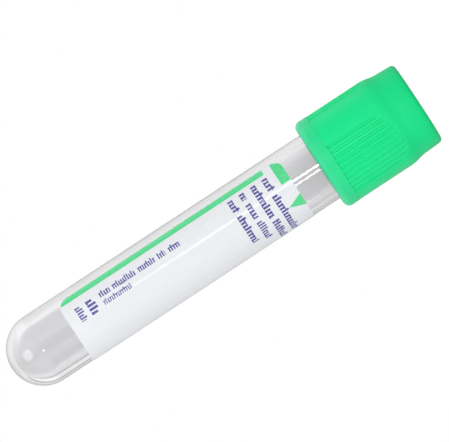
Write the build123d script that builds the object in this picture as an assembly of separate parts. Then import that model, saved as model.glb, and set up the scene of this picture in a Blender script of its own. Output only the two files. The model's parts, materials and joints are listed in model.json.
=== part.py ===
from build123d import *
import math
import os

# Blood collection tube: a clear round-bottomed tube with a paper label, shut by a rubber
# stopper whose neck is held in a ribbed, moulded shield. Lengths are in millimetres and
# angles in degrees.
#
# Every piece is drawn about the tube's axis, which is +Z here: the tip of the round bottom
# is at z = 0 and the mouth at z = TUBE_LENGTH. Angles about the axis are counted from the
# front, which is the -X side. At the end the pieces are turned over, so that the tube stands
# on the flat top of its shield with the round bottom up and the front towards -Y.

# ---- tube
TUBE_LENGTH = 75.0
TUBE_RADIUS = 6.35
TUBE_WALL = 1.1
RIM_ROUND = 0.3            # both edges of the mouth

# ---- label
LABEL_FOOT = 12.4          # lower edge above the tip
LABEL_LENGTH = 44.7
LABEL_THICKNESS = 0.1
LABEL_START = -50.5        # first long edge
LABEL_WIDTH = 33.2         # across the flat sheet, which wraps round the tube
LABEL_CORNER = 2.0

# ---- stopper
PLUG_LENGTH = 7.0          # inside the tube
PLUG_CLEARANCE = 0.04      # between the plug and the bore
PLUG_LEAD = 0.5            # taper of the plug's lower edge, inwards
PLUG_LEAD_LENGTH = 1.6     # and along the plug
CAVITY_RADIUS = 3.0        # hollow under the plug
CAVITY_DEPTH = 6.0
FLANGE_INSET = 0.1         # from the tube's outside
FLANGE_THICKNESS = 2.2
NECK_RADIUS = 3.5
HEAD_HOOK = 0.7            # how far the head stands out over the neck
HEAD_THICKNESS = 0.9
RUBBER_ROUND = 0.3         # edges of the flange and the head
DIMPLE_RADIUS = 2.6        # where the needle enters
DIMPLE_DEPTH = 0.45

# ---- shield, inside
SKIRT_OVERLAP = 12.6       # how far the skirt comes down over the tube
SKIRT_CLEARANCE = 0.4      # between the skirt and the tube
LEDGE_THICKNESS = 1.1      # the ledge that grips the stopper's neck
LEDGE_CLEARANCE = 0.05     # between the ledge and the neck, and above and below it
HEAD_CLEARANCE = 0.2       # round the stopper's head
HEAD_COVER = 0.3           # from the head to the step above it
WELL_STEP = 0.3            # how much wider the well is than the pocket round the head
WELL_DEPTH = 2.7           # above that step
WELL_MOUTH_ROUND = 0.8
LIP_ROUND_INSIDE = 0.25

# ---- shield, outside
SKIRT_WALL = 1.6           # from the skirt's bore to the rib tops
BAND_HEIGHT = 2.65         # plain band along the lip
BAND_PROUD = 0.05          # beyond the rib tops
LIP_ROUND = 1.15
SHOULDER_INSET = 0.48      # how far the shoulder draws in
SHOULDER_HEIGHT = 3.6      # and over what height
CROWN_HEIGHT = 3.2         # above the shoulder
CROWN_TAPER = 0.16         # over that height
TOP_ROUND = 0.75

# ---- ribs of the shield, cut as grooves in three panels
PANELS = 3
PANEL_CENTRE = 20.0        # middle of the first panel
GROOVES = 10               # in each panel
GROOVE_PITCH = 7.5
GROOVE_ARC = 3.85
GROOVE_DEPTH = 0.42
GROOVE_REACH = 2.4         # how far the middle grooves run up the shoulder
GROOVE_DROP = 2.5          # how much lower the outermost ones end
GROOVE_RUNOUT = 0.9        # height over which a groove's floor comes up

# ---- derived
BORE_RADIUS = TUBE_RADIUS - TUBE_WALL
LABEL_RADIUS = TUBE_RADIUS + LABEL_THICKNESS
LABEL_SPAN = math.degrees(LABEL_WIDTH / (TUBE_RADIUS + LABEL_THICKNESS / 2))
PLUG_RADIUS = BORE_RADIUS - PLUG_CLEARANCE
FLANGE_RADIUS = TUBE_RADIUS - FLANGE_INSET
NECK_LENGTH = LEDGE_THICKNESS + 2 * LEDGE_CLEARANCE
HEAD_RADIUS = NECK_RADIUS + HEAD_HOOK
SKIRT_BORE = TUBE_RADIUS + SKIRT_CLEARANCE
LEDGE_BORE = NECK_RADIUS + LEDGE_CLEARANCE
POCKET_RADIUS = HEAD_RADIUS + HEAD_CLEARANCE
WELL_RADIUS = POCKET_RADIUS + WELL_STEP
GRIP_RADIUS = SKIRT_BORE + SKIRT_WALL
BAND_RADIUS = GRIP_RADIUS + BAND_PROUD
CROWN_RADIUS = GRIP_RADIUS - SHOULDER_INSET
TOP_RADIUS = CROWN_RADIUS - CROWN_TAPER
FRONT = 180.0              # where the front lies, from +X towards +Y

# heights above the tip
FLANGE_TOP = TUBE_LENGTH + FLANGE_THICKNESS
HEAD_FOOT = FLANGE_TOP + NECK_LENGTH
HEAD_TOP = HEAD_FOOT + HEAD_THICKNESS
LEDGE_FOOT = FLANGE_TOP + LEDGE_CLEARANCE
LEDGE_TOP = LEDGE_FOOT + LEDGE_THICKNESS
POCKET_TOP = HEAD_TOP + HEAD_COVER
SHIELD_FOOT = TUBE_LENGTH - SKIRT_OVERLAP
SHIELD_TOP = POCKET_TOP + WELL_DEPTH
SHOULDER_TOP = SHIELD_TOP - CROWN_HEIGHT
SHOULDER_FOOT = SHOULDER_TOP - SHOULDER_HEIGHT


def rounded(piece, corners):
    """Rounds the circular edges at the given (radius, height) points, each to its own size."""
    for (radius, height), size in corners:
        circles = piece.edges().filter_by(GeomType.CIRCLE)
        edge = min(circles, key=lambda e: abs(e.radius - radius) + abs(e.arc_center.Z - height))
        piece = fillet(edge, size)
    return piece


def turned(profile, arc=360.0):
    """Turns a profile of (radius, height) points about the tube's axis."""
    return revolve(Plane.XZ * profile, Axis.Z, revolution_arc=arc)


def tube():
    """The clear tube: a straight wall with a round bottom and a rounded rim."""
    outer_rim, inner_rim = (TUBE_RADIUS, TUBE_LENGTH), (BORE_RADIUS, TUBE_LENGTH)
    outline = [
        CenterArc((0, TUBE_RADIUS), TUBE_RADIUS, -90, 90),
        Polyline((TUBE_RADIUS, TUBE_RADIUS), outer_rim, inner_rim, (BORE_RADIUS, TUBE_RADIUS)),
        CenterArc((0, TUBE_RADIUS), BORE_RADIUS, -90, 90),
        Line((0, TUBE_WALL), (0, 0)),
    ]
    return rounded(turned(make_face(outline)), [(outer_rim, RIM_ROUND), (inner_rim, RIM_ROUND)])


def label_corner():
    """What lies beyond a rounded corner whose arc is centred on +X, towards +Y and +Z."""
    block = Box(TUBE_RADIUS, 2 * LABEL_CORNER, 2 * LABEL_CORNER)
    arc = Rot(0, 90, 0) * Cylinder(LABEL_CORNER, 2 * TUBE_RADIUS)
    return Pos(TUBE_RADIUS, LABEL_CORNER, LABEL_CORNER) * block - Pos(TUBE_RADIUS, 0, 0) * arc


def label():
    """The paper label: a sheet that wraps most of the tube, with rounded corners."""
    middle = LABEL_FOOT + LABEL_LENGTH / 2
    section = Pos(TUBE_RADIUS + LABEL_THICKNESS / 2, middle) * Rectangle(LABEL_THICKNESS, LABEL_LENGTH)
    inset = math.degrees(math.asin(LABEL_CORNER / LABEL_RADIUS))
    beyond_end = label_corner()
    beyond_start = mirror(beyond_end, Plane.XZ)
    upper = [Rot(0, 0, LABEL_SPAN - inset) * beyond_end, Rot(0, 0, inset) * beyond_start]
    upper_at, lower_at = LABEL_FOOT + LABEL_LENGTH - LABEL_CORNER, LABEL_FOOT + LABEL_CORNER
    cutters = [Pos(0, 0, upper_at) * cutter for cutter in upper]
    cutters += [Pos(0, 0, lower_at) * mirror(cutter, Plane.XY) for cutter in upper]
    return Rot(0, 0, FRONT + LABEL_START) * (turned(section, LABEL_SPAN) - cutters)


def stopper():
    """The rubber stopper: a plug hollowed from below, a flange on the rim, a neck and a head."""
    plug_foot = TUBE_LENGTH - PLUG_LENGTH
    dome_centre = plug_foot + CAVITY_DEPTH - CAVITY_RADIUS
    flange_foot_edge, flange_top_edge = (FLANGE_RADIUS, TUBE_LENGTH), (FLANGE_RADIUS, FLANGE_TOP)
    head_foot_edge, head_top_edge = (HEAD_RADIUS, HEAD_FOOT), (HEAD_RADIUS, HEAD_TOP)
    dimple_edge, dimple_foot = (DIMPLE_RADIUS, HEAD_TOP), (0, HEAD_TOP - DIMPLE_DEPTH)
    outline = [
        CenterArc((0, dome_centre), CAVITY_RADIUS, 0, 90),
        Polyline(
            (CAVITY_RADIUS, dome_centre),
            (CAVITY_RADIUS, plug_foot),
            (PLUG_RADIUS - PLUG_LEAD, plug_foot),
            (PLUG_RADIUS, plug_foot + PLUG_LEAD_LENGTH),
            (PLUG_RADIUS, TUBE_LENGTH),
            flange_foot_edge,
            flange_top_edge,
            (NECK_RADIUS, FLANGE_TOP),
            (NECK_RADIUS, HEAD_FOOT),
            head_foot_edge,
            head_top_edge,
            dimple_edge,
        ),
        TangentArc(dimple_foot, dimple_edge, tangent=(1, 0)),
        Line(dimple_foot, (0, dome_centre + CAVITY_RADIUS)),
    ]
    edges = [flange_foot_edge, flange_top_edge, head_foot_edge, head_top_edge]
    return rounded(turned(make_face(outline)), [(edge, RUBBER_ROUND) for edge in edges])


def shield_blank():
    """The shield without its grooves: skirt, ledge and well inside; lip, grip and shoulder outside."""
    lip_inside, lip_outside = (SKIRT_BORE, SHIELD_FOOT), (BAND_RADIUS, SHIELD_FOOT)
    well_mouth, top_edge = (WELL_RADIUS, SHIELD_TOP), (TOP_RADIUS, SHIELD_TOP)
    shoulder_foot, shoulder_top = (GRIP_RADIUS, SHOULDER_FOOT), (CROWN_RADIUS, SHOULDER_TOP)
    shoulder_middle = tuple((a + b) / 2 for a, b in zip(shoulder_foot, shoulder_top))
    outline = [
        Polyline(
            shoulder_foot,
            (GRIP_RADIUS, SHIELD_FOOT + BAND_HEIGHT),
            (BAND_RADIUS, SHIELD_FOOT + BAND_HEIGHT),
            lip_outside,
            lip_inside,
            (SKIRT_BORE, LEDGE_FOOT),
            (LEDGE_BORE, LEDGE_FOOT),
            (LEDGE_BORE, LEDGE_TOP),
            (POCKET_RADIUS, LEDGE_TOP),
            (POCKET_RADIUS, POCKET_TOP),
            (WELL_RADIUS, POCKET_TOP),
            well_mouth,
            top_edge,
            shoulder_top,
        ),
        TangentArc(shoulder_foot, shoulder_middle, tangent=(0, 1)),
        TangentArc(shoulder_top, shoulder_middle, tangent=(0, -1)),
    ]
    corners = [
        (lip_outside, LIP_ROUND),
        (lip_inside, LIP_ROUND_INSIDE),
        (well_mouth, WELL_MOUTH_ROUND),
        (top_edge, TOP_ROUND),
    ]
    return rounded(turned(make_face(outline)), corners)


def groove(place):
    """One groove between two ribs. place runs from -1 to 1 across a panel and sets where it ends."""
    foot = SHIELD_FOOT + BAND_HEIGHT
    top = SHOULDER_FOOT + GROOVE_REACH - GROOVE_DROP * place**2
    floor = GRIP_RADIUS - GROOVE_DEPTH
    outside = GRIP_RADIUS + GROOVE_DEPTH
    section = Polyline(
        (floor, foot),
        (floor, top - GROOVE_RUNOUT),
        (outside, top + GROOVE_RUNOUT),
        (outside, foot),
        close=True,
    )
    return Rot(0, 0, -GROOVE_ARC / 2) * turned(make_face(section), GROOVE_ARC)


def shield():
    """The moulded shield, with grooves that leave the ribs of its three grip panels standing."""
    cutters = []
    for panel in range(PANELS):
        centre = FRONT + PANEL_CENTRE + panel * 360 / PANELS
        for number in range(GROOVES):
            steps = number - (GROOVES - 1) / 2
            place = 2 * steps / (GROOVES - 1)
            cutters.append(Rot(0, 0, centre + steps * GROOVE_PITCH) * groove(place))
    return shield_blank() - cutters


def stood_on_closure(pieces):
    """Turns the pieces over, to stand on the plane z = 0 with their axis through the origin."""
    turned_over = Pos(0, 0, SHIELD_TOP) * Rot(0, 0, 90) * Rot(180, 0, 0)
    return {name: turned_over * piece for name, piece in pieces.items()}


if __name__ == "__main__":
    os.makedirs("parts", exist_ok=True)
    made = {"tube": tube(), "label": label(), "stopper": stopper(), "shield": shield()}
    for name, piece in stood_on_closure(made).items():
        export_step(piece, f"parts/{name}.step")
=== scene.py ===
import json
import logging
import math
from dataclasses import dataclass, field
from enum import Enum
from typing import Any, Sequence

import bpy
import numpy as np
from mathutils import Matrix, Vector


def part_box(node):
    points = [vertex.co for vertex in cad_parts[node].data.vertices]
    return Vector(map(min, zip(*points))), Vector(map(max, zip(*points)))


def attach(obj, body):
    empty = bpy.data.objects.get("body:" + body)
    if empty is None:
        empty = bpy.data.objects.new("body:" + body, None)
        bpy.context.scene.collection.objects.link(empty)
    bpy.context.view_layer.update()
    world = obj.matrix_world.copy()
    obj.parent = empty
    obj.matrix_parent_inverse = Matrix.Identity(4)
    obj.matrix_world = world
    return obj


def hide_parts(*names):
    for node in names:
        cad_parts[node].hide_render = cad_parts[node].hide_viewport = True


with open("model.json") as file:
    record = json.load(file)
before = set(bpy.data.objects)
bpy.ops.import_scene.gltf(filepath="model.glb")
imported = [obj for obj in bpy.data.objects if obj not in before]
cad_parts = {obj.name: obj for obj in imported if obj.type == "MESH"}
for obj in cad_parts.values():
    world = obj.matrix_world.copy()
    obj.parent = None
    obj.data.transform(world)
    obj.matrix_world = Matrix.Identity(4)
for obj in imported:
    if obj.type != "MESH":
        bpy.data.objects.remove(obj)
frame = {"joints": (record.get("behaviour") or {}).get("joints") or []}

log = logging.getLogger("blood_collection_tube")

MM = 0.001  # a millimetre, in metres
TINY = 1e-12  # keeps a division by a length of 0 finite
STRAIGHT = 1e-4  # radians, within which a corner counts as straight or folded back
SAME_PLACE = 1e-5  # millimetres, within which two points of a profile are one
ON_LIMIT = 1e-6  # millimetres, by which a point may miss a limit and still count as on it
ON_AXIS = 1e-9  # millimetres, within which a row of points is a pole
CLEAR_SHARE = 0.35  # of the spacing, which an added point keeps from the profile's own
CREASE = 38.0  # degrees, past which the edge between two faces stays sharp
ANGLE_PLACES = 4  # decimals of a degree, past which two columns are one

Colour = tuple[float, float, float]
Corner = tuple[tuple[float, float], float]
Socket = bpy.types.NodeSocket
Material = bpy.types.Material
Piece = bpy.types.Object

WHITE: Colour = (1.0, 1.0, 1.0)
EVEN_DEPTH: Colour = (1.0, 1.0, 1.0)  # red, green and blue light go equally deep


class Slot(Enum):
    """The material slots of the part's record."""

    TUBE = "clear_plastic"
    LABEL = "label_paper"
    STOPPER = "stopper_rubber"
    SHIELD = "shield_plastic"


class Effect(Enum):
    """The node groups that the finishes share."""

    MOTTLE = "mottle"
    GRAIN = "moulding_grain"
    FIELD = "print_field"
    WORD = "print_word"


class LampOutline(Enum):
    """The outlines that a lamp's face may have."""

    RECTANGLE = "RECTANGLE"
    ELLIPSE = "ELLIPSE"


class Ink(Enum):
    """The two inks of the label, as linear colours."""

    GREEN = (0.016, 0.645, 0.215)
    VIOLET = (0.026, 0.020, 0.290)


# ---------------------------------------------------------------- placing on the tube's axis


@dataclass(frozen=True)
class TubeAxis:
    """The tube's own axis: heights count from the tip of the round bottom, angles from the front.

    All four vectors are in the row frame; the tip is in metres.
    """

    tip: np.ndarray
    along: np.ndarray
    front: np.ndarray
    side: np.ndarray

    @classmethod
    def from_frame(cls) -> "TubeAxis":
        """Takes the axis from the joint that pulls the tube out, and the tip from the tube's box.

        Returns:
            The axis, which runs from the tip towards the closure.
        """
        pull = next(joint for joint in frame["joints"] if joint["name"] == "closure_pull")
        along = -np.array(pull["axis"], float)
        low, high = (np.array(corner, float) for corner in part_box("tube"))
        tip = (low + high) / 2 - along * abs(np.dot(high - low, along)) / 2
        front = np.array([0.0, -1.0, 0.0])
        return cls(tip, along, front, np.cross(along, front))

    def place(self, radius: np.ndarray, angle: np.ndarray, height: np.ndarray) -> np.ndarray:
        """Turns cylindrical coordinates into points of the row frame.

        A point is the tip, plus the height along the axis, plus the radius towards
        cos(angle) of the front and sin(angle) of the side.

        Args:
            radius: Distances from the axis, in millimetres.
            angle: Angles from the front towards the side, in degrees.
            height: Heights above the tip, in millimetres.

        Returns:
            Points in metres, with one more dimension than the arguments.
        """
        turn = np.radians(angle)[..., None]
        outwards = np.cos(turn) * self.front + np.sin(turn) * self.side
        return self.tip + MM * (radius[..., None] * outwards + height[..., None] * self.along)


# ---------------------------------------------------------------- profiles and surfaces


def smooth_step(value: np.ndarray) -> np.ndarray:
    """Eases from 0 to 1 as value goes from 0 to 1: three squares less two cubes."""
    part = np.clip(value, 0.0, 1.0)
    return part * part * (3.0 - 2.0 * part)


def corner_arrays(corners: Sequence[Corner]) -> tuple[np.ndarray, np.ndarray]:
    """Parts corners into their (radius, height) places and the sizes of their rounds."""
    return np.array([place for place, _ in corners]), np.array([size for _, size in corners])


def rounded_profile(corners: np.ndarray, rounds: np.ndarray, steps: int) -> np.ndarray:
    """Rounds the corners of a profile, all at once.

    Each corner becomes an arc that touches both of its sides: its centre is on the line that
    halves the corner, and its points are turned evenly from the one contact to the other.

    Args:
        corners: (count, 2) radii and heights, in millimetres.
        rounds: (count,) arc radii, 0 where the corner stays sharp.
        steps: Steps along each arc.

    Returns:
        The (radius, height) points of the rounded profile, with no point twice.
    """
    towards = np.roll(corners, 1, axis=0) - corners
    away = np.roll(corners, -1, axis=0) - corners
    towards /= np.maximum(np.linalg.norm(towards, axis=1, keepdims=True), TINY)
    away /= np.maximum(np.linalg.norm(away, axis=1, keepdims=True), TINY)
    half = np.arccos(np.clip((towards * away).sum(axis=1), -1.0, 1.0)) / 2.0
    live = (rounds > 0.0) & (half > STRAIGHT) & (half < math.pi / 2 - STRAIGHT)
    half = np.where(live, half, math.pi / 4)
    size = np.where(live, rounds, 0.0)
    halving = towards + away
    halving /= np.maximum(np.linalg.norm(halving, axis=1, keepdims=True), TINY)
    centre = corners + halving * (size / np.sin(half))[:, None]
    reach = (size / np.tan(half))[:, None]
    first, last = corners + towards * reach - centre, corners + away * reach - centre
    swing = (math.pi - 2.0 * half)[:, None, None]
    share = np.linspace(0.0, 1.0, steps + 1)[None, :, None]
    arc = np.sin((1 - share) * swing) * first[:, None] + np.sin(share * swing) * last[:, None]
    points = (centre[:, None] + arc / np.sin(swing)).reshape(-1, 2)
    apart = np.linalg.norm(np.diff(points, axis=0), axis=1) > SAME_PLACE
    return points[np.concatenate([[True], apart])]


def refined(profile: np.ndarray, largest: float) -> np.ndarray:
    """Adds points along a profile, at even lengths, so that no straight stretch stays long.

    Args:
        profile: (count, 2) radii and heights, in millimetres.
        largest: The spacing of the added points, in millimetres.

    Returns:
        The profile with its own points kept and the added ones between them.
    """
    length = np.concatenate([[0.0], np.cumsum(np.linalg.norm(np.diff(profile, axis=0), axis=1))])
    added = np.arange(largest / 2, length[-1], largest)
    clear = np.abs(added[:, None] - length[None, :]).min(axis=1) > CLEAR_SHARE * largest
    places = np.union1d(length, added[clear])
    return np.stack([np.interp(places, length, profile[:, axis]) for axis in (0, 1)], axis=1)


def put_in(name: str, points: np.ndarray, quads: np.ndarray, finishes: Sequence[Material]) -> Piece:
    """Makes a smooth mesh object whose place is in its mesh.

    A quad with two like corners, at a pole, becomes a triangle.

    Args:
        name: The piece's name.
        points: (count, 3) vertices in metres.
        quads: (count, 4) vertex numbers, anticlockwise from outside.
        finishes: The materials, in slot order.

    Returns:
        The new object, linked to the scene.
    """
    first_pole, last_pole = quads[:, 0] == quads[:, 1], quads[:, 2] == quads[:, 3]
    faces = quads[~(first_pole | last_pole)].tolist()
    faces += quads[first_pole][:, [0, 2, 3]].tolist() + quads[last_pole][:, [0, 1, 2]].tolist()
    mesh = bpy.data.meshes.new(name)
    mesh.from_pydata(points.tolist(), [], faces)
    mesh.polygons.foreach_set("use_smooth", np.ones(len(mesh.polygons), bool))
    mesh.set_sharp_from_angle(angle=math.radians(CREASE))
    for finish in finishes:
        mesh.materials.append(finish)
    mesh.update()
    piece = bpy.data.objects.new(name, mesh)
    bpy.context.scene.collection.objects.link(piece)
    return piece


def turned_surface(
    axis: TubeAxis, radius: np.ndarray, height: np.ndarray, angles: np.ndarray, ring: bool
) -> tuple[np.ndarray, np.ndarray]:
    """Carries a profile round the axis, as a grid of profile points by angles.

    The radius may change with the angle, which is how ribs are cut. Rows of no radius are
    poles and are drawn together into one vertex. The profile runs anticlockwise in
    (radius, height), which makes every face point outwards.

    Args:
        axis: The axis to turn about.
        radius: (rows, columns) radii in millimetres.
        height: (rows, columns) heights in millimetres.
        angles: (columns,) angles in degrees, round the whole circle.
        ring: Whether the last row joins the first.

    Returns:
        Vertices in metres and the quads between them.
    """
    rows, columns = radius.shape
    number = np.arange(rows * columns).reshape(rows, columns)
    poles = radius.max(axis=1) < ON_AXIS
    number[poles] = number[poles][:, :1]
    kept, number = np.unique(number, return_inverse=True)
    number = number.reshape(rows, columns)
    points = axis.place(radius, np.broadcast_to(angles, radius.shape), height).reshape(-1, 3)[kept]
    lower, upper = (number, np.roll(number, -1, axis=0)) if ring else (number[:-1], number[1:])
    quads = np.stack([lower, np.roll(lower, -1, axis=1), np.roll(upper, -1, axis=1), upper], axis=-1)
    return points, quads.reshape(-1, 4)


def even_turn(columns: int) -> np.ndarray:
    """Angles that share the whole circle evenly, in degrees."""
    return np.arange(columns) * 360.0 / columns


def turned_piece(name: str, axis: TubeAxis, outline: np.ndarray, columns: int, finish: Material) -> Piece:
    """Makes a piece that is round all over, from an outline that starts and ends on the axis.

    Args:
        name: The piece's name.
        axis: The axis to turn about.
        outline: (rows, 2) radii and heights, in millimetres.
        columns: How many points go round it.
        finish: Its one material.

    Returns:
        The new object.
    """
    radius, height = (np.broadcast_to(outline[:, [part]], (len(outline), columns)) for part in (0, 1))
    points, quads = turned_surface(axis, radius, height, even_turn(columns), ring=False)
    return put_in(name, points, quads, [finish])


# ---------------------------------------------------------------- nodes


@dataclass(frozen=True)
class Grain:
    """How a surface is roughened: its grain's size and its bumps' height, in millimetres.

    depth scales the grain itself, and strength is how far the bumps turn the surface.
    """

    size: float
    depth: float
    strength: float
    height: float


@dataclass
class Sketch:
    """Adds nodes to one tree and joins them, so that a finish reads from top to bottom."""

    tree: bpy.types.NodeTree

    def feed(self, socket: Socket, value: Any) -> None:
        """Joins an output to a socket, or sets the socket to a plain value.

        Args:
            socket: The input to fill.
            value: An output of another node, or a number or colour.
        """
        if isinstance(value, Socket):
            self.tree.links.new(value, socket)
        elif isinstance(value, tuple) and socket.type == "RGBA" and len(value) == 3:
            socket.default_value = (*value, 1.0)
        else:
            socket.default_value = value

    def add(self, kind: str, inputs: dict[Any, Any] | None = None, **settings: Any) -> bpy.types.Node:
        """Adds a node.

        Args:
            kind: The node's type.
            inputs: Values or outputs for its sockets, by name or number.
            settings: Its own properties.

        Returns:
            The node.
        """
        node = self.tree.nodes.new(kind)
        for name, value in settings.items():
            setattr(node, name, value)
        for name, value in (inputs or {}).items():
            self.feed(node.inputs[name], value)
        return node

    def math(self, operation: str, *values: Any, clamp: bool = False) -> Socket:
        """A Math node's result."""
        node = self.add("ShaderNodeMath", dict(enumerate(values)), operation=operation, use_clamp=clamp)
        return node.outputs[0]

    def blend(self, share: Any, base: Any, over: Any) -> Socket:
        """The colour between base and over, by share."""
        return self.add("ShaderNodeMix", {0: share, 6: base, 7: over}, data_type="RGBA").outputs[2]

    def between(self, share: Any, low: Any, high: Any) -> Socket:
        """The number between low and high, by share."""
        return self.add("ShaderNodeMix", {0: share, 2: low, 3: high}, data_type="FLOAT").outputs[0]

    def rescale(self, value: Any, *limits: Any, ease: bool = False) -> Socket:
        """Maps a value from the first two limits to the last two, kept between them.

        Args:
            value: What is mapped.
            limits: From low, from high, to low and to high.
            ease: Whether it starts and ends softly.

        Returns:
            The mapped value.
        """
        way = "SMOOTHSTEP" if ease else "LINEAR"
        inputs = dict(enumerate((value, *limits)))
        return self.add("ShaderNodeMapRange", inputs, interpolation_type=way).outputs[0]

    def effect(self, effect: Effect, **inputs: Any) -> Socket:
        """Places a shared group in this tree with its own values.

        Args:
            effect: Which group.
            inputs: Values or outputs for its sockets, by name.

        Returns:
            The group's one output.
        """
        node = self.add("ShaderNodeGroup", node_tree=bpy.data.node_groups[effect.value])
        for name, value in inputs.items():
            self.feed(node.inputs[name], value)
        return node.outputs[0]

    def clouds(self, position: Any, patch: float, low: float = 0.0, high: float = 1.0) -> Socket:
        """Soft cloudy change from low to high, in patches of a size in millimetres."""
        return self.effect(Effect.MOTTLE, Position=position, Patch=patch * MM, Low=low, High=high)

    def bump(self, position: Any, grain: Grain) -> Socket:
        """The surface's normal, roughened by a grain."""
        height = self.effect(Effect.GRAIN, Position=position, Grain=grain.size * MM, Depth=grain.depth)
        return self.add("ShaderNodeBump", {
            "Height": height, "Strength": grain.strength, "Distance": grain.height * MM,
        }).outputs[0]


@dataclass
class EffectShelf:
    """Makes the shared node groups once, before any finish is made.

    edge is the width of a printed edge in millimetres. The cloud_ and fine_ values shape the noise.
    The rest shape a word in shares: of its cells across, of its height, and of the picks from 0 to 1.
    """

    edge: float = 0.035
    cloud_detail: float = 3.0
    cloud_rough: float = 0.55
    cloud_span: tuple[float, float] = (0.3, 0.7)
    coarse_detail: float = 2.0
    fine_detail: float = 1.0
    fine_scale: float = 3.7
    fine_share: float = 0.33
    stroke_at: float = 0.4
    short_stroke: float = 0.72
    tall_pick: float = 0.68
    bar_heights: tuple[float, float] = (0.1, 0.64)
    high_bar_pick: float = 0.35
    no_bar_pick: float = 0.8
    bar_half: float = 0.09

    def start(
        self, effect: Effect, names: Sequence[str], output: str, placed: bool
    ) -> tuple[Sketch, Any, Any]:
        """Opens a group with its named sockets, which are all numbers.

        Args:
            effect: Which group.
            names: The names of its inputs.
            output: The name of its one output.
            placed: Whether a Position, a vector, comes before the other inputs.

        Returns:
            The sketch, the inputs by name and the output's socket.
        """
        group = bpy.data.node_groups.new(effect.value, "ShaderNodeTree")
        if placed:
            group.interface.new_socket("Position", in_out="INPUT", socket_type="NodeSocketVector")
        for name in names:
            group.interface.new_socket(name, in_out="INPUT", socket_type="NodeSocketFloat")
        group.interface.new_socket(output, in_out="OUTPUT", socket_type="NodeSocketFloat")
        sketch = Sketch(group)
        return sketch, sketch.add("NodeGroupInput").outputs, sketch.add("NodeGroupOutput").inputs[0]

    def mottle(self) -> None:
        """Soft cloudy change over a surface: noise of a given size, spread from Low to High."""
        sketch, given, out = self.start(Effect.MOTTLE, ["Patch", "Low", "High"], "Value", placed=True)
        noise = sketch.add("ShaderNodeTexNoise", {
            "Vector": given["Position"], "Scale": sketch.math("DIVIDE", 1.0, given["Patch"]),
            "Detail": self.cloud_detail, "Roughness": self.cloud_rough,
        })
        sketch.feed(out, sketch.rescale(noise.outputs[0], *self.cloud_span, given["Low"], given["High"]))

    def grain(self) -> None:
        """Fine grain for bumps: a coarse noise with a finer one at a third of its height."""
        sketch, given, out = self.start(Effect.GRAIN, ["Grain", "Depth"], "Height", placed=True)
        scale = sketch.math("DIVIDE", 1.0, given["Grain"])
        coarse = sketch.add("ShaderNodeTexNoise", {
            "Vector": given["Position"], "Scale": scale, "Detail": self.coarse_detail,
        })
        fine = sketch.add("ShaderNodeTexNoise", {
            "Vector": given["Position"], "Detail": self.fine_detail,
            "Scale": sketch.math("MULTIPLY", scale, self.fine_scale),
        })
        both = sketch.math("MULTIPLY_ADD", fine.outputs[0], self.fine_share, coarse.outputs[0])
        sketch.feed(out, sketch.math("MULTIPLY", both, given["Depth"]))

    def inside(self, sketch: Sketch, value: Any, low: Any, high: Any) -> Socket:
        """1 between low and high, with a narrow soft edge just within both.

        Args:
            sketch: The tree to draw in.
            value: The place that is tested.
            low: Where the range starts.
            high: Where it ends.

        Returns:
            The mask.
        """
        above = sketch.math("DIVIDE", sketch.math("SUBTRACT", value, low), self.edge, clamp=True)
        below = sketch.math("DIVIDE", sketch.math("SUBTRACT", high, value), self.edge, clamp=True)
        return sketch.math("MULTIPLY", above, below)

    def field(self) -> None:
        """A printed rectangle, in millimetres across and up the sheet."""
        names = ["Across", "Up", "From", "To", "Foot", "Top"]
        sketch, given, out = self.start(Effect.FIELD, names, "Mask", placed=False)
        across = self.inside(sketch, given["Across"], given["From"], given["To"])
        up = self.inside(sketch, given["Up"], given["Foot"], given["Top"])
        sketch.feed(out, sketch.math("MULTIPLY", across, up))

    def word(self) -> None:
        """A printed bar broken into upright strokes of uneven height, which stands for a word.

        The bar is cut into cells of one pitch. Each cell has one stroke, and its own number picks
        how tall it is. The same pick gives most cells a short bar, near the foot or higher up.
        """
        names = ["Along", "Up", "Start", "End", "Foot", "Height", "Pitch", "Weight"]
        sketch, given, out = self.start(Effect.WORD, names, "Mask", placed=False)
        run = sketch.math("SUBTRACT", given["Along"], given["Start"])
        rise = sketch.math("DIVIDE", sketch.math("SUBTRACT", given["Up"], given["Foot"]), given["Height"])
        cells = sketch.math("DIVIDE", run, given["Pitch"])
        cell_number = sketch.math("ADD", sketch.math("FLOOR", cells), given["Start"])
        pick = sketch.add("ShaderNodeTexWhiteNoise", {"W": cell_number}, noise_dimensions="1D").outputs[0]
        off_stroke = sketch.math("SUBTRACT", sketch.math("FRACT", cells), self.stroke_at)
        stroke = sketch.math("LESS_THAN", sketch.math("ABSOLUTE", off_stroke),
                             sketch.math("MULTIPLY", given["Weight"], 0.5))
        tall = sketch.math("GREATER_THAN", pick, self.tall_pick)
        tall = sketch.rescale(tall, 0.0, 1.0, self.short_stroke, 1.0)
        stroke = sketch.math("MULTIPLY", stroke, sketch.math("LESS_THAN", rise, tall))
        bar_at = sketch.math("GREATER_THAN", pick, self.high_bar_pick)
        bar_at = sketch.rescale(bar_at, 0.0, 1.0, *self.bar_heights)
        off_bar = sketch.math("ABSOLUTE", sketch.math("SUBTRACT", rise, bar_at))
        bar = sketch.math("MULTIPLY", sketch.math("LESS_THAN", off_bar, self.bar_half),
                          sketch.math("LESS_THAN", pick, self.no_bar_pick))
        shape = sketch.math("MAXIMUM", stroke, bar)
        along = self.inside(sketch, given["Along"], given["Start"], given["End"])
        up = self.inside(sketch, rise, 0.0, 1.0)
        sketch.feed(out, sketch.math("MULTIPLY", shape, sketch.math("MULTIPLY", along, up)))

    def fill(self) -> None:
        """Makes every group."""
        for make in (self.mottle, self.grain, self.field, self.word):
            make()


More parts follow.
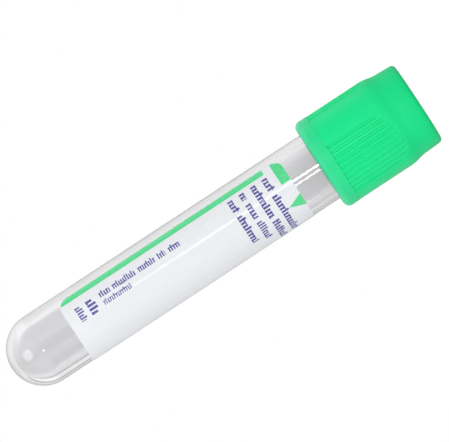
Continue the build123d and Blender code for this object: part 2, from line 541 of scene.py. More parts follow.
def new_material(name: str) -> tuple[Material, Sketch, Socket]:
    """Makes an empty node material.

    Args:
        name: The material's name.

    Returns:
        The material, its sketch and the socket that its shader goes into.
    """
    material = bpy.data.materials.new(name)
    material.use_nodes = True
    material.node_tree.nodes.clear()
    sketch = Sketch(material.node_tree)
    return material, sketch, sketch.add("ShaderNodeOutputMaterial").inputs[0]


def own_position(sketch: Sketch) -> Socket:
    """The piece's own Object coordinates, in metres."""
    return sketch.add("ShaderNodeTexCoord").outputs["Object"]


# ---------------------------------------------------------------- finishes
# Patches, grains and depths under the surface are in millimetres.


@dataclass(frozen=True)
class ClearPlastic:
    """The tube's clear moulded plastic, faintly clouded gloss; its grey tint is partly painted shade."""

    pale: Colour = (0.965, 0.967, 0.976)
    deep: Colour = (0.945, 0.947, 0.958)
    shadow_tint: Colour = (0.965, 0.967, 0.97)
    smooth: float = 0.035
    clouded: float = 0.075
    index: float = 1.55
    patch: float = 6.0
    wave: Grain = Grain(2.4, 0.02, 0.1, 0.05)

    def make(self) -> Material:
        """Builds the material, which lets light through to what is behind it.

        Returns:
            The material.
        """
        material, sketch, out = new_material("clear_moulded_plastic")
        position = own_position(sketch)
        clouds = sketch.clouds(position, self.patch)
        # partly painted shade: the grey of pale and deep darkens what is seen through the tube
        glass = sketch.add("ShaderNodeBsdfPrincipled", {
            "Base Color": sketch.blend(clouds, self.pale, self.deep),
            "Roughness": sketch.rescale(clouds, 0.0, 1.0, self.smooth, self.clouded),
            "IOR": self.index, "Transmission Weight": 1.0, "Metallic": 0.0,
            "Normal": sketch.bump(position, self.wave),
        })
        passing = sketch.add("ShaderNodeBsdfTransparent", {"Color": self.shadow_tint})
        shadow = sketch.add("ShaderNodeLightPath").outputs["Is Shadow Ray"]
        mixed = sketch.add("ShaderNodeMixShader", {0: shadow, 1: glass.outputs[0], 2: passing.outputs[0]})
        sketch.feed(out, mixed.outputs[0])
        return material


@dataclass(frozen=True)
class ShieldPlastic:
    """The shield's soft green plastic, which lets a little light in under its surface.

    The band beside the grip is painted paler and its lip paler still, which is a painted sheen; band_top
    and lip_top are their heights above the floor in millimetres.
    """

    green: Colour = (0.002, 0.750, 0.272)
    shaded: Colour = (0.001, 0.715, 0.220)
    # painted sheen: the paler colour that the band and its lip are blended towards
    thin: Colour = (0.038, 0.640, 0.290)
    band_top: float = 17.25
    band_blend: float = 0.15
    band_sheen_share: float = 0.45
    lip_top: float = 19.6
    lip_reach: float = 1.5
    cloud_share: float = 0.35
    smooth: float = 0.30
    rough: float = 0.40
    index: float = 1.49
    gloss: float = 0.24
    patch: float = 5.0
    grain: Grain = Grain(0.14, 0.5, 0.3, 0.03)
    under_surface: float = 0.3
    under_depth: float = 1.6
    under_radius: Colour = (0.4, 1.0, 0.8)

    def make(self) -> Material:
        """Builds the material.

        Returns:
            The material.
        """
        material, sketch, out = new_material("green_shield_plastic")
        position = own_position(sketch)
        clouds = sketch.clouds(position, self.patch)
        up = sketch.add("ShaderNodeSeparateXYZ", {0: position}).outputs[2]
        # painted sheen: the band, and most of all its rounded lip, turn towards the paler colour
        blend_from, blend_to = self.band_top - self.band_blend, self.band_top + self.band_blend
        band = sketch.rescale(up, blend_from * MM, blend_to * MM, 0.0, 1.0, ease=True)
        lip_foot = self.lip_top - self.lip_reach
        lip_sheen = sketch.rescale(up, lip_foot * MM, self.lip_top * MM, self.band_sheen_share, 1.0)
        colour = sketch.blend(sketch.math("MULTIPLY", clouds, self.cloud_share), self.green, self.shaded)
        plastic = sketch.add("ShaderNodeBsdfPrincipled", {
            "Base Color": sketch.blend(sketch.math("MULTIPLY", band, lip_sheen), colour, self.thin),
            "Roughness": sketch.rescale(clouds, 0.0, 1.0, self.smooth, self.rough),
            "IOR": self.index, "Specular IOR Level": self.gloss, "Metallic": 0.0,
            "Subsurface Weight": self.under_surface, "Subsurface Scale": self.under_depth * MM,
            "Subsurface Radius": self.under_radius,
            "Normal": sketch.bump(position, self.grain),
        })
        sketch.feed(out, plastic.outputs[0])
        return material


@dataclass(frozen=True)
class StopperRubber:
    """The stopper's grey rubber, matt and slightly speckled."""

    grey: Colour = (0.150, 0.155, 0.158)
    speck: Colour = (0.235, 0.240, 0.240)
    rough: float = 0.72
    dull: float = 0.86
    index: float = 1.5
    patch: float = 2.2
    cloud_share: float = 0.35
    speck_patch: float = 0.22
    speck_span: tuple[float, float] = (-0.9, 0.7)
    grain: Grain = Grain(0.2, 0.6, 0.4, 0.04)

    def make(self) -> Material:
        """Builds the material.

        Returns:
            The material.
        """
        material, sketch, out = new_material("grey_stopper_rubber")
        position = own_position(sketch)
        clouds = sketch.clouds(position, self.patch)
        specks = sketch.math("MAXIMUM", sketch.clouds(position, self.speck_patch, *self.speck_span), 0.0)
        share = sketch.math("MULTIPLY_ADD", clouds, self.cloud_share, specks, clamp=True)
        rubber = sketch.add("ShaderNodeBsdfPrincipled", {
            "Base Color": sketch.blend(share, self.grey, self.speck),
            "Roughness": sketch.rescale(clouds, 0.0, 1.0, self.rough, self.dull),
            "IOR": self.index, "Metallic": 0.0, "Normal": sketch.bump(position, self.grain),
        })
        sketch.feed(out, rubber.outputs[0])
        return material


@dataclass(frozen=True)
class Bar:
    """One printed word: its start and end along the row, its foot, and the height of its strokes."""

    start: float
    end: float
    foot: float
    height: float
    pitch: float = 0.60
    weight: float = 0.66
    upright: bool = False


@dataclass(frozen=True)
class PrintedPaper:
    """The label's face: white coated paper with green fields and rows of violet strokes.

    Sizes are millimetres across the sheet from its first long edge, and up from its lower edge.
    A field is its two sides, its foot and its top. The pointer is the middle and the half width of
    its top edge, then its tip and its top.
    """

    paper: Colour = (0.775, 0.790, 0.822)
    fibre: Colour = (0.760, 0.776, 0.810)
    width: float = 33.2
    length: float = 44.7
    fields: tuple[tuple[float, float, float, float], ...] = (
        (-1.0, 1.28, 0.45, 41.3), (-1.0, 4.71, 42.85, 46.0),
    )
    pointer: tuple[float, float, float, float] = (8.69, 1.23, 41.84, 44.7)
    bars: tuple[Bar, ...] = (
        Bar(1.94, 4.55, 40.30, 1.42, 0.66, 0.58),
        Bar(5.45, 14.40, 40.30, 1.42),
        Bar(1.94, 8.50, 38.01, 1.42),
        Bar(9.20, 14.50, 38.01, 1.42),
        Bar(1.94, 3.35, 35.72, 1.36),
        Bar(4.20, 7.05, 35.72, 1.36, 0.62, 0.6),
        Bar(7.75, 11.80, 35.72, 1.36, 0.50, 0.6),
        Bar(1.94, 4.40, 33.43, 1.36),
        Bar(5.10, 10.80, 33.43, 1.36),
        Bar(6.84, 8.95, 2.62, 1.20, 0.46, 0.58, True),
        Bar(9.50, 14.05, 2.62, 1.20, 0.42, 0.58, True),
        Bar(14.70, 18.10, 2.62, 1.20, 0.42, 0.58, True),
        Bar(18.65, 20.15, 2.62, 1.20, 0.44, 0.58, True),
        Bar(20.85, 23.00, 2.62, 1.20, 0.46, 0.58, True),
        Bar(6.84, 12.35, 4.25, 1.05, 0.40, 0.44, True),
        Bar(2.90, 5.62, 4.13, 1.66, 0.72, 0.62),
        Bar(2.90, 5.62, 2.01, 1.30, 0.50, 0.6),
    )
    smooth: float = 0.40
    rough: float = 0.52
    index: float = 1.5
    patch: float = 1.1
    worn_patch: float = 0.35
    worn_least: float = 0.86
    coat_patch: float = 0.6
    coat_span: tuple[float, float] = (0.25, 0.6)
    coat_rough: float = 0.12
    grain: Grain = Grain(0.16, 0.5, 0.22, 0.02)
    under_surface: float = 0.5
    under_depth: float = 0.2

    def largest_of(self, sketch: Sketch, masks: Sequence[Socket]) -> Socket:
        """Joins masks, so that a place is inside when it is inside any of them.

        Args:
            sketch: The tree to draw in.
            masks: One mask or more.

        Returns:
            The largest of them.
        """
        result = masks[0]
        for mask in masks[1:]:
            result = sketch.math("MAXIMUM", result, mask)
        return result

    def pointer_mask(self, sketch: Sketch, across: Any, up: Any) -> Socket:
        """A triangle that points down: its half width grows evenly from its tip to its top.

        Args:
            sketch: The tree to draw in.
            across: The place across the sheet.
            up: The place up it.

        Returns:
            The mask.
        """
        middle, half, tip, top = self.pointer
        rise = sketch.rescale(up, tip, top, 0.0, half)
        off = sketch.math("ABSOLUTE", sketch.math("SUBTRACT", across, middle))
        above_tip = sketch.math("GREATER_THAN", up, tip)
        return sketch.math("MULTIPLY", sketch.math("LESS_THAN", off, rise), above_tip)

    def bar_mask(self, sketch: Sketch, bar: Bar, across: Any, up: Any) -> Socket:
        """One word, which runs across the sheet, or up it with its strokes turned a quarter.

        Args:
            sketch: The tree to draw in.
            bar: The word.
            across: The place across the sheet.
            up: The place up it.

        Returns:
            The mask.
        """
        along, rise = across, up
        if bar.upright:
            # the row reads upwards, so its own up is towards the first long edge
            along, rise = up, sketch.math("SUBTRACT", 2 * bar.foot + bar.height, across)
        return sketch.effect(
            Effect.WORD, Along=along, Up=rise, Start=bar.start, End=bar.end, Foot=bar.foot,
            Height=bar.height, Pitch=bar.pitch, Weight=bar.weight,
        )

    def make(self) -> Material:
        """Builds the printed face.

        Returns:
            The material.
        """
        material, sketch, out = new_material("printed_label_paper")
        uv_map = sketch.add("ShaderNodeUVMap", uv_map="sheet").outputs[0]
        sheet = sketch.add("ShaderNodeSeparateXYZ", {0: uv_map})
        across = sketch.math("MULTIPLY", sheet.outputs[0], self.width)
        up = sketch.math("MULTIPLY", sheet.outputs[1], self.length)
        fields = [
            sketch.effect(Effect.FIELD, Across=across, Up=up, From=low, To=high, Foot=foot, Top=top)
            for low, high, foot, top in self.fields
        ]
        green = self.largest_of(sketch, [*fields, self.pointer_mask(sketch, across, up)])
        violet = self.largest_of(sketch, [self.bar_mask(sketch, bar, across, up) for bar in self.bars])
        position = own_position(sketch)
        clouds = sketch.clouds(position, self.patch)
        worn = sketch.clouds(position, self.worn_patch, self.worn_least, 1.0)
        colour = sketch.blend(clouds, self.paper, self.fibre)
        colour = sketch.blend(sketch.math("MULTIPLY", green, worn), colour, Ink.GREEN.value)
        colour = sketch.blend(sketch.math("MULTIPLY", violet, worn), colour, Ink.VIOLET.value)
        paper = sketch.add("ShaderNodeBsdfPrincipled", {
            "Base Color": colour,
            "Roughness": sketch.rescale(clouds, 0.0, 1.0, self.smooth, self.rough),
            "IOR": self.index, "Metallic": 0.0,
            "Coat Weight": sketch.clouds(position, self.coat_patch, *self.coat_span),
            "Coat Roughness": self.coat_rough, "Normal": sketch.bump(position, self.grain),
            "Subsurface Weight": self.under_surface, "Subsurface Scale": self.under_depth * MM,
            "Subsurface Radius": EVEN_DEPTH,
        })
        sketch.feed(out, paper.outputs[0])
        return material


@dataclass(frozen=True)
class PaperBack:
    """The label's glued back and its cut edges: plain white paper with a faint mottle."""

    paper: Colour = (0.93, 0.935, 0.945)
    glue: Colour = (0.88, 0.885, 0.90)
    smooth: float = 0.55
    rough: float = 0.7
    index: float = 1.45
    patch: float = 1.6
    grain: Grain = Grain(0.2, 0.5, 0.2, 0.02)
    under_surface: float = 0.9
    under_depth: float = 0.4

    def make(self) -> Material:
        """Builds the material.

        Returns:
            The material.
        """
        material, sketch, out = new_material("glued_label_back")
        position = own_position(sketch)
        clouds = sketch.clouds(position, self.patch)
        paper = sketch.add("ShaderNodeBsdfPrincipled", {
            "Base Color": sketch.blend(clouds, self.paper, self.glue),
            "Roughness": sketch.rescale(clouds, 0.0, 1.0, self.smooth, self.rough),
            "IOR": self.index, "Metallic": 0.0, "Normal": sketch.bump(position, self.grain),
            "Subsurface Weight": self.under_surface, "Subsurface Scale": self.under_depth * MM,
            "Subsurface Radius": EVEN_DEPTH,
        })
        sketch.feed(out, paper.outputs[0])
        return material


# ---------------------------------------------------------------- the pieces
# Sizes are in millimetres and heights count from the tube's tip; angles are in degrees. spacing is
# the length at which points are added along an outline.


@dataclass
class ClearTube:
    """The clear tube: a straight wall with a round bottom and a rounded rim."""

    axis: TubeAxis
    finish: ClearPlastic = field(default_factory=ClearPlastic)
    length: float = 75.0
    radius: float = 6.35
    wall: float = 1.1
    rim_round: float = 0.3
    columns: int = 168
    arc_steps: int = 40
    spacing: float = 4.0

    def profile(self) -> np.ndarray:
        """Draws the outside from the tip to the rim, then the inside back to the bottom.

        Returns:
            (rows, 2) radii and heights.
        """
        bore = self.radius - self.wall
        corners, rounds = corner_arrays([
            ((0.0, 0.0), 0.0), ((self.radius, 0.0), self.radius),
            ((self.radius, self.length), self.rim_round), ((bore, self.length), self.rim_round),
            ((bore, self.wall), bore), ((0.0, self.wall), 0.0),
        ])
        return refined(rounded_profile(corners, rounds, self.arc_steps), self.spacing)

    def build(self) -> Piece:
        """Builds and dresses the tube, which rides the tube's body.

        Returns:
            The piece.
        """
        piece = turned_piece("clear_tube", self.axis, self.profile(), self.columns, self.finish.make())
        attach(piece, "tube_body")
        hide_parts("tube")
        return piece


@dataclass
class WrapLabel:
    """The paper label: a thin sheet that wraps most of the tube."""

    axis: TubeAxis
    face: PrintedPaper = field(default_factory=PrintedPaper)
    back: PaperBack = field(default_factory=PaperBack)
    tube_radius: float = 6.35
    thickness: float = 0.1
    glue_gap: float = 0.006
    foot: float = 12.4
    start_angle: float = -50.5
    corner: float = 2.0
    columns: int = 220
    corner_rows: int = 12
    middle_rows: int = 24

    def sheet(self) -> tuple[np.ndarray, np.ndarray]:
        """The flat sheet as a grid of places across it and up it.

        Near either end a row starts and stops short by the corner's radius less the half
        chord of the corner's circle at that height, which rounds the four corners.

        Returns:
            (rows, columns) places across and up.
        """
        turn = np.linspace(0.0, math.pi / 2, self.corner_rows)
        near = self.corner * (1.0 - np.cos(turn))
        middle = np.linspace(self.corner, self.face.length - self.corner, self.middle_rows)[1:-1]
        up = np.concatenate([near, middle, self.face.length - near[::-1]])
        to_end = np.minimum(np.minimum(up, self.face.length - up), self.corner)
        inset = self.corner - np.sqrt(np.maximum(self.corner**2 - (self.corner - to_end) ** 2, 0.0))
        share = np.linspace(0.0, 1.0, self.columns)[None, :]
        across = inset[:, None] + share * (self.face.width - 2.0 * inset[:, None])
        return across, np.broadcast_to(up[:, None], across.shape)

    def build(self) -> Piece:
        """Builds both faces and the edge between them, and dresses them.

        Returns:
            The piece.
        """
        across, up = self.sheet()
        rows, columns = across.shape
        angle = self.start_angle + np.degrees(across / (self.tube_radius + self.thickness / 2))
        outer = np.full(across.shape, self.tube_radius + self.thickness)
        inner = np.full(across.shape, self.tube_radius + self.glue_gap)
        layers = [self.axis.place(radius, angle, self.foot + up).reshape(-1, 3) for radius in (outer, inner)]
        number = np.arange(rows * columns).reshape(rows, columns)
        lower, upper = number[:-1], number[1:]
        front = np.stack([lower[:, :-1], lower[:, 1:], upper[:, 1:], upper[:, :-1]], axis=-1).reshape(-1, 4)
        rim = np.concatenate([number[0, :-1], number[:-1, -1], number[-1, :0:-1], number[:0:-1, 0]])
        after = np.roll(rim, -1)
        behind = rows * columns
        edge = np.stack([rim + behind, after + behind, after, rim], axis=-1)
        quads = np.concatenate([front, front[:, ::-1] + behind, edge])
        piece = put_in("wrap_label", np.concatenate(layers), quads, [self.face.make(), self.back.make()])
        self.map_sheet(piece.data, np.tile(np.stack([across, up], axis=-1).reshape(-1, 2), (2, 1)))
        faces = np.ones(len(quads), np.int32)
        faces[: len(front)] = 0
        piece.data.polygons.foreach_set("material_index", faces)
        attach(piece, "tube_body")
        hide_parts("label")
        return piece

    def map_sheet(self, mesh: bpy.types.Mesh, places: np.ndarray) -> None:
        """Writes the UV map: the place on the flat sheet as shares of its width and length.

        Args:
            mesh: The label's mesh.
            places: (vertices, 2) places across and up.
        """
        corner_vertex = np.zeros(len(mesh.loops), np.int32)
        mesh.loops.foreach_get("vertex_index", corner_vertex)
        shares = places / np.array([self.face.width, self.face.length])
        layer = mesh.uv_layers.new(name="sheet")
        layer.data.foreach_set("uv", shares[corner_vertex].astype(np.float32).ravel())


@dataclass
class RubberStopper:
    """The rubber stopper: a hollow plug, a flange on the rim, a neck and a head."""

    axis: TubeAxis
    finish: StopperRubber = field(default_factory=StopperRubber)
    plug_foot: float = 68.0
    plug_radius: float = 5.21
    lead: float = 0.5
    lead_length: float = 1.6
    lead_round: float = 0.5
    cavity_radius: float = 3.0
    dome_top: float = 74.0
    rim: float = 75.0
    flange_radius: float = 6.25
    flange_top: float = 77.2
    neck_radius: float = 3.5
    head_radius: float = 4.2
    head_foot: float = 78.4
    head_top: float = 79.3
    dimple_radius: float = 2.6
    dimple_depth: float = 0.45
    rounding: float = 0.3
    small_round: float = 0.1
    columns: int = 144
    arc_steps: int = 10
    dome_points: int = 25
    dimple_points: int = 9
    spacing: float = 1.0

    def profile(self) -> np.ndarray:
        """Draws from the top of the hollow, down and round the outside, to the dimple's bottom.

        The hollow's dome is a quarter circle and the dimple's floor is a parabola.

        Returns:
            (rows, 2) radii and heights.
        """
        around, small = self.rounding, self.small_round
        places, rounds = corner_arrays([
            ((self.cavity_radius, self.plug_foot), small),
            ((self.plug_radius - self.lead, self.plug_foot), small),
            ((self.plug_radius, self.plug_foot + self.lead_length), self.lead_round),
            ((self.plug_radius, self.rim), 0.0),
            ((self.flange_radius, self.rim), around), ((self.flange_radius, self.flange_top), around),
            ((self.neck_radius, self.flange_top), small), ((self.neck_radius, self.head_foot), small),
            ((self.head_radius, self.head_foot), around), ((self.head_radius, self.head_top), around),
            ((self.dimple_radius, self.head_top), 0.0),
        ])
        turn = np.linspace(math.pi / 2, 0.0, self.dome_points)
        dome = np.stack([self.cavity_radius * np.cos(turn),
                         self.dome_top - self.cavity_radius * (1 - np.sin(turn))], axis=1)
        dome[0, 0] = 0.0
        share = np.linspace(1.0, 0.0, self.dimple_points)[1:]
        dimple = np.stack([self.dimple_radius * share,
                           self.head_top - self.dimple_depth * (1 - share**2)], axis=1)
        points = np.concatenate([dome, places, dimple])
        rounds = np.concatenate([np.zeros(len(dome)), rounds, np.zeros(len(dimple))])
        return refined(rounded_profile(points, rounds, self.arc_steps), self.spacing)

    def build(self) -> Piece:
        """Builds and dresses the stopper.

        Returns:
            The piece.
        """
        piece = turned_piece("rubber_stopper", self.axis, self.profile(), self.columns, self.finish.make())
        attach(piece, "stopper_body")
        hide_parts("stopper")
        return piece


@dataclass
class RibbedShield:
    """The moulded shield: skirt, ledge and well, with three panels of ribs.

    foot is the lip of the skirt, and top the flat ring that the object stands on.
    """

    axis: TubeAxis
    finish: ShieldPlastic = field(default_factory=ShieldPlastic)
    foot: float = 62.4
    band_top: float = 65.05
    band_radius: float = 8.4
    band_round: float = 0.04
    grip_radius: float = 8.35
    grip_margin: float = 0.01
    lip_round: float = 1.15
    shoulder_foot: float = 75.5
    shoulder_top: float = 79.1
    crown_radius: float = 7.87
    top_radius: float = 7.71
    top: float = 82.3
    top_round: float = 0.75
    well_radius: float = 4.7
    well_floor: float = 79.6
    well_round: float = 0.1
    well_mouth_round: float = 0.8
    pocket_radius: float = 4.4
    pocket_round: float = 0.08
    ledge_bore: float = 3.55
    ledge_foot: float = 77.25
    ledge_top: float = 78.35
    ledge_round: float = 0.12
    skirt_bore: float = 6.75
    skirt_round: float = 0.2
    inner_round: float = 0.25
    panels: int = 3
    panel_centre: float = 20.0
    grooves: int = 10
    groove_pitch: float = 7.5
    groove_half: float = 1.925
    groove_soft: float = 1.5
    groove_depth: float = 0.21
    groove_begin: float = 0.1
    groove_reach: float = 2.4
    groove_drop: float = 2.5
    groove_runout: float = 0.9
    groove_columns: tuple[float, ...] = (0.8, 1.3, 1.65, 1.95, 2.25, 2.6)
    plain_columns: int = 18
    begin_rows: tuple[float, int] = (0.2, 5)
    middle_rows: tuple[float, float, int] = (66.2, 71.6, 6)
    end_rows: tuple[float, int] = (72.3, 54)
    arc_steps: int = 9
    spacing: float = 1.4

    def grip_heights(self) -> np.ndarray:
        """Heights of the rows on the grip, close together where the grooves begin and run out.

        Returns:
            (rows,) heights, upwards.
        """
        rise, begin_count = self.begin_rows
        end_foot, end_count = self.end_rows
        return np.concatenate([
            np.linspace(self.band_top, self.band_top + rise, begin_count), np.linspace(*self.middle_rows),
            np.linspace(end_foot, self.shoulder_top, end_count),
        ])

    def shoulder(self, height: np.ndarray) -> np.ndarray:
        """The grip's radius: straight, then an S made of two parabolas in to the crown.

        Args:
            height: Heights on the grip.

        Returns:
            The radii there.
        """
        share = np.clip((height - self.shoulder_foot) / (self.shoulder_top - self.shoulder_foot), 0.0, 1.0)
        ease = np.where(share < 0.5, 2 * share**2, 1 - 2 * (1 - share) ** 2)
        return self.grip_radius - (self.grip_radius - self.crown_radius) * ease

    def profile(self) -> tuple[np.ndarray, np.ndarray]:
        """The closed outline, anticlockwise from the lip, and which of its rows the ribs cross.

        Returns:
            (rows, 2) radii and heights, and a (rows,) mask of the grip's rows.
        """
        heights = self.grip_heights()
        grip = np.stack([self.shoulder(heights), heights], axis=1)
        above, above_rounds = corner_arrays([
            ((self.top_radius, self.top), self.top_round),
            ((self.well_radius, self.top), self.well_mouth_round),
            ((self.well_radius, self.well_floor), self.well_round),
            ((self.pocket_radius, self.well_floor), self.pocket_round),
            ((self.pocket_radius, self.ledge_top), self.pocket_round),
            ((self.ledge_bore, self.ledge_top), self.ledge_round),
            ((self.ledge_bore, self.ledge_foot), self.ledge_round),
            ((self.skirt_bore, self.ledge_foot), self.skirt_round),
            ((self.skirt_bore, self.foot), self.inner_round),
        ])
        below, below_rounds = corner_arrays([
            ((self.band_radius, self.foot), self.lip_round),
            ((self.band_radius, self.band_top), self.band_round),
        ])
        points = np.concatenate([below, grip, above])
        rounds = np.concatenate([below_rounds, np.zeros(len(grip)), above_rounds])
        outline = refined(rounded_profile(points, rounds, self.arc_steps), self.spacing)
        radius, height = outline.T
        on_grip = (radius > self.crown_radius - self.grip_margin) & (radius < self.grip_radius + ON_LIMIT)
        on_grip &= (height > self.band_top - ON_LIMIT) & (height < self.shoulder_top + ON_LIMIT)
        return outline, on_grip

    def panel_middles(self) -> np.ndarray:
        """The middle angle of each panel."""
        return self.panel_centre + np.arange(self.panels) * 360.0 / self.panels

    def groove_centres(self) -> tuple[np.ndarray, np.ndarray]:
        """Where the grooves are.

        Returns:
            The middle angle of each groove, and its place from -1 to 1 across its panel.
        """
        steps = np.arange(self.grooves) - (self.grooves - 1) / 2
        centres = (self.panel_middles()[:, None] + steps[None, :] * self.groove_pitch).ravel()
        return centres, np.tile(2 * steps / (self.grooves - 1), self.panels)

    def angles(self) -> np.ndarray:
        """Column angles: a close set at each groove, and even ones across the plain stretches.

        Returns:
            (columns,) angles, from 0 upwards.
        """
        centres, _ = self.groove_centres()
        across = np.array([*self.groove_columns, self.groove_pitch / 2])
        across = np.concatenate([-across[-2::-1], [0.0], across])
        grooved = (centres[:, None] + across[None, :]).ravel()
        half_panel = self.grooves / 2 * self.groove_pitch
        stretch = np.linspace(0.0, 360.0 / self.panels - 2 * half_panel, self.plain_columns)[None, 1:]
        plain = (self.panel_middles()[:, None] + half_panel + stretch).ravel()
        return np.unique(np.round(np.concatenate([grooved, plain]) % 360.0, ANGLE_PLACES))

    def rib_depth(self, outline: np.ndarray, on_grip: np.ndarray, angles: np.ndarray) -> np.ndarray:
        """How deep the grooves are cut into each point of the grid.

        A groove's floor is a straight cylinder that slopes outwards near its end, so its
        depth is the shoulder's radius less the floor's. Across, it eases from full depth to
        none at either side. Each groove ends lower the further it is from its panel's middle.

        Args:
            outline: (rows, 2) radii and heights.
            on_grip: (rows,) mask of the rows that may be cut.
            angles: (columns,) angles.

        Returns:
            (rows, columns) depths.
        """
        centres, places = self.groove_centres()
        apart = np.abs((angles[:, None] - centres[None, :] + 180.0) % 360.0 - 180.0)
        nearest = apart.argmin(axis=1)
        share = smooth_step((self.groove_half + self.groove_soft / 2 - apart.min(axis=1)) / self.groove_soft)
        end = self.shoulder_foot + self.groove_reach - self.groove_drop * places[nearest] ** 2
        rise = np.maximum(outline[:, 1:] - (end - self.groove_runout)[None, :], 0.0)
        floor = self.grip_radius - self.groove_depth * (1.0 - rise / self.groove_runout)
        depth = np.maximum(outline[:, :1] - floor, 0.0) * share[None, :]
        begun = smooth_step((outline[:, 1] - self.band_top) / self.groove_begin) * on_grip
        return depth * begun[:, None]

    def build(self) -> Piece:
        """Builds and dresses the shield.

        Returns:
            The piece.
        """
        outline, on_grip = self.profile()
        angles = self.angles()
        depth = self.rib_depth(outline, on_grip, angles)
        height = np.broadcast_to(outline[:, 1:], depth.shape)
        points, quads = turned_surface(self.axis, outline[:, :1] - depth, height, angles, ring=True)
        piece = put_in("ribbed_shield", points, quads, [self.finish.make()])
        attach(piece, "shield_body")
        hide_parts("shield")
        return piece


# ---------------------------------------------------------------- the studio


@dataclass(frozen=True)
class SoftLamp:
    """A soft lamp turned to the object: where it stands, its size and how bright it is.

    across and up are degrees from the front, aim is the height above the tip that it is turned
    to, in millimetres, and distance, width and height are in metres.
    """

    name: str
    across: float
    up: float
    aim: float
    distance: float
    width: float
    height: float
    radiance: float
    outline: LampOutline = LampOutline.RECTANGLE

    def build(self, axis: TubeAxis) -> Piece:
        """Puts the lamp in, with the power that gives its face its radiance.

        Args:
            axis: The tube's axis, which its place and its aim count from.

        Returns:
            The lamp.
        """
        light = bpy.data.lights.new(self.name, "AREA")
        light.shape = self.outline.value
        light.size, light.size_y = self.width, self.height
        area = self.width * self.height * (math.pi / 4 if self.outline is LampOutline.ELLIPSE else 1.0)
        light.energy = self.radiance * math.pi * area
        lamp = bpy.data.objects.new(self.name, light)
        bpy.context.scene.collection.objects.link(lamp)
        lamp.visible_camera = False
        level, swing = math.radians(self.up), math.radians(self.across)
        flat = math.cos(swing) * axis.front - math.sin(swing) * axis.side
        towards = Vector(math.cos(level) * flat - math.sin(level) * axis.along)
        middle = Vector(axis.tip + MM * self.aim * axis.along)
        lamp.matrix_world = Matrix.Translation(middle + towards * self.distance) @ (
            towards.to_track_quat("Z", "Y").to_matrix().to_4x4()
        )
        return lamp


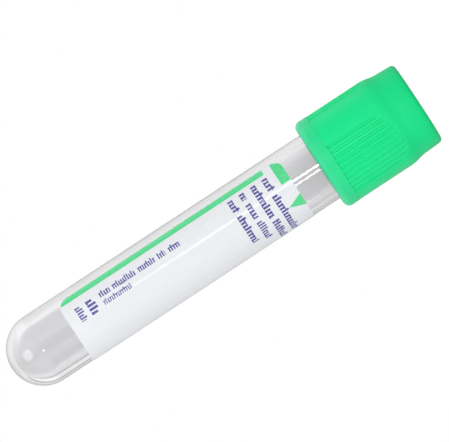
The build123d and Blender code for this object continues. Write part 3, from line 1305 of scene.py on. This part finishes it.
@dataclass
class Studio:
    """A plain pale floor, soft light from all round, two soft lamps and the camera.

    floor_radius, camera_distance, clip and the places on the floor, which are sides_at, beside_from
    and ahead_from, are in metres. Other sizes are in millimetres. lift_from and overhead_from are
    heights of a direction, from 0 where it is level to 1 straight up. walls pairs an angle round the
    object, in degrees from the front, with the light that comes from it. floor_behind, floor_beside
    and floor_ahead are the light that the floor sends to the object from there, and floor_thrown is
    the part of it that the floor only throws back.
    """

    axis: TubeAxis
    lamps: tuple[SoftLamp, ...] = (
        SoftLamp("high_lamp", 13.2, 54.0, 10.0, 0.6, 0.34, 0.38, 2.1, LampOutline.ELLIPSE),
        SoftLamp("level_strip", 8.2, 0.0, 49.3, 0.6, 0.055, 0.060, 14.0),
    )
    paper: float = 1.0
    foot: float = 82.3
    drop: float = 0.02
    floor_radius: float = 2.5
    floor_sides: int = 96
    floor_patch: float = 50.0
    floor_rough: tuple[float, float] = (0.90, 0.92)
    floor_shine: float = 0.1
    floor_grey: Colour = (0.25, 0.25, 0.25)
    floor_thrown: float = 0.2
    floor_behind: float = 0.35
    floor_beside: tuple[float, float] = (0.57, 0.80)
    floor_ahead: float = 0.92
    sides_at: tuple[float, float] = (-0.05, 0.05)
    beside_from: tuple[float, float] = (0.04, 0.36)
    ahead_from: tuple[float, float] = (-0.03, 0.01)
    overhead: float = 0.86
    overhead_from: tuple[float, float] = (0.35, 0.9)
    lift: float = 1.13
    lift_from: tuple[float, float] = (0.03, 0.14)
    walls: tuple[tuple[float, float], ...] = (
        (-180, 0.62), (-177, 0.655), (-172, 0.76), (-160, 0.80), (-130, 0.80), (-116, 0.9), (-111, 2.0),
        (-97, 2.0), (-92, 0.9), (-82, 0.4), (-62, 0.4), (-46, 1.05), (-24, 1.2), (-14, 0.85), (14, 0.85),
        (24, 1.2), (60, 1.15), (82, 1.0), (94, 0.68), (116, 0.68), (125, 0.92), (136, 0.92), (145, 0.85),
        (149, 0.36), (156, 0.36), (160, 0.79), (166, 0.79), (172, 0.615), (180, 0.62),
    )
    camera_distance: float = 1.5
    picture_width: float = 76.1
    sensor: float = 36.0
    clip: tuple[float, float] = (0.01, 20.0)
    roll: float = 33.29
    aim_height: float = 43.86
    aim_side: float = 1.19

    def floor(self) -> Piece:
        """A wide disc just under the object.

        The camera sees it as pale as the air. The object gets less light from it, which changes
        from one side to the other and from back to front.

        Returns:
            The floor.
        """
        turn = np.radians(even_turn(self.floor_sides))
        ring = np.stack([np.cos(turn), np.sin(turn), np.zeros(self.floor_sides)], axis=1) * self.floor_radius
        ground = self.axis.tip + MM * self.foot * self.axis.along
        points = np.concatenate([ground[None, :], ring + ground])
        points[:, 2] -= self.drop * MM
        number = np.arange(1, self.floor_sides + 1)
        middle = np.zeros(self.floor_sides, int)
        quads = np.stack([middle, middle, number, np.roll(number, -1)], axis=1)
        material, sketch, out = new_material("pale_floor")
        position = own_position(sketch)
        seen = sketch.add("ShaderNodeLightPath").outputs["Is Camera Ray"]
        across, away, _ = sketch.add("ShaderNodeSeparateXYZ", {0: position}).outputs
        beside = sketch.rescale(across, *self.sides_at, *self.floor_beside)
        share = sketch.rescale(sketch.math("ABSOLUTE", across), *self.beside_from, 0.0, 1.0, ease=True)
        ahead = sketch.rescale(away, *self.ahead_from, 1.0, 0.0, ease=True)
        light = sketch.between(ahead, sketch.between(share, self.floor_behind, beside), self.floor_ahead)
        # what the floor throws back from the air is taken off what it gives by itself
        light = sketch.math("SUBTRACT", light, self.floor_thrown)
        matt = sketch.add("ShaderNodeBsdfPrincipled", {
            "Base Color": self.floor_grey,
            "Roughness": sketch.clouds(position, self.floor_patch, *self.floor_rough),
            "Specular IOR Level": self.floor_shine, "Emission Color": WHITE,
            "Emission Strength": sketch.between(seen, light, self.paper - self.floor_thrown),
        })
        sketch.feed(out, matt.outputs[0])
        piece = put_in("studio_floor", points, quads, [material])
        return piece

    def air(self) -> None:
        """Light from all round, which the walls shape, and even light from overhead.

        The camera sees it as plain white.
        """
        world = bpy.data.worlds.new("studio_air")
        world.use_nodes = True
        world.node_tree.nodes.clear()
        sketch = Sketch(world.node_tree)
        way = sketch.add("ShaderNodeSeparateXYZ", {0: sketch.add("ShaderNodeTexCoord").outputs["Generated"]})
        turn = sketch.math("ARCTAN2", sketch.math("MULTIPLY", way.outputs[0], -1.0),
                           sketch.math("MULTIPLY", way.outputs[1], -1.0))
        ramp = sketch.add("ShaderNodeValToRGB", {0: sketch.rescale(turn, -math.pi, math.pi, 0.0, 1.0)})
        self.shade_walls(ramp.color_ramp)
        lifted = sketch.rescale(way.outputs[2], *self.lift_from, 1.0, self.lift)
        round_it = sketch.math("MULTIPLY", sketch.math("MULTIPLY", ramp.outputs[0], 2.0), lifted)
        upwards = sketch.rescale(way.outputs[2], *self.overhead_from, 0.0, 1.0, ease=True)
        level = sketch.between(upwards, round_it, self.overhead)
        seen = sketch.add("ShaderNodeLightPath").outputs["Is Camera Ray"]
        strength = sketch.between(seen, level, self.paper)
        glow = sketch.add("ShaderNodeBackground", {"Color": WHITE, "Strength": strength})
        sketch.feed(sketch.add("ShaderNodeOutputWorld").inputs[0], glow.outputs[0])
        bpy.context.scene.world = world

    def shade_walls(self, ramp: bpy.types.ColorRamp) -> None:
        """Sets the light that comes from each angle round the object, at half its strength.

        Args:
            ramp: The ramp, which runs once round the object.
        """
        ramp.interpolation = "EASE"
        while len(ramp.elements) < len(self.walls):
            ramp.elements.new(0.5)
        for element, (angle, light) in zip(ramp.elements, self.walls):
            element.position = angle / 360.0 + 0.5
            element.color = (light / 2, light / 2, light / 2, 1.0)

    def camera(self) -> Piece:
        """Looks level at the front, rolled so that the tube leans across the picture.

        The picture's right is the axis's direction turned by the roll towards the side that
        angles count to, and its up is a quarter turn from that.

        Returns:
            The camera.
        """
        roll = math.radians(self.roll)
        right = math.cos(roll) * self.axis.along + math.sin(roll) * self.axis.side
        up = math.sin(roll) * self.axis.along - math.cos(roll) * self.axis.side
        back = self.axis.front
        lens = bpy.data.cameras.new("camera")
        lens.sensor_width = self.sensor
        lens.lens = self.sensor * self.camera_distance / (MM * self.picture_width)
        lens.clip_start, lens.clip_end = self.clip
        camera = bpy.data.objects.new("camera", lens)
        bpy.context.scene.collection.objects.link(camera)
        aim = self.axis.tip + MM * (self.aim_height * self.axis.along - self.aim_side * self.axis.side)
        matrix = np.eye(4)
        matrix[:3, 0], matrix[:3, 1], matrix[:3, 2] = right, up, back
        matrix[:3, 3] = aim + back * self.camera_distance
        camera.matrix_world = Matrix(matrix.tolist())
        bpy.context.scene.camera = camera
        return camera

    def build(self) -> None:
        """Sets up the floor, the air, the lamps and the camera."""
        self.floor()
        self.air()
        for lamp in self.lamps:
            lamp.build(self.axis)
        self.camera()
        bpy.context.scene.view_settings.view_transform = "Standard"


def main() -> None:
    """Builds the pieces in order, reports each, and sets up the studio."""
    logging.basicConfig(level=logging.INFO, format="%(name)s: %(message)s")
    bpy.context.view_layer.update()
    EffectShelf().fill()
    axis = TubeAxis.from_frame()
    for maker in (ClearTube(axis), WrapLabel(axis), RubberStopper(axis), RibbedShield(axis)):
        piece = maker.build()
        triangles = len(piece.data.loops) - 2 * len(piece.data.polygons)
        log.info("%s: %d triangles", piece.name, triangles)
    Studio(axis).build()


if __name__ == "__main__":
    main()
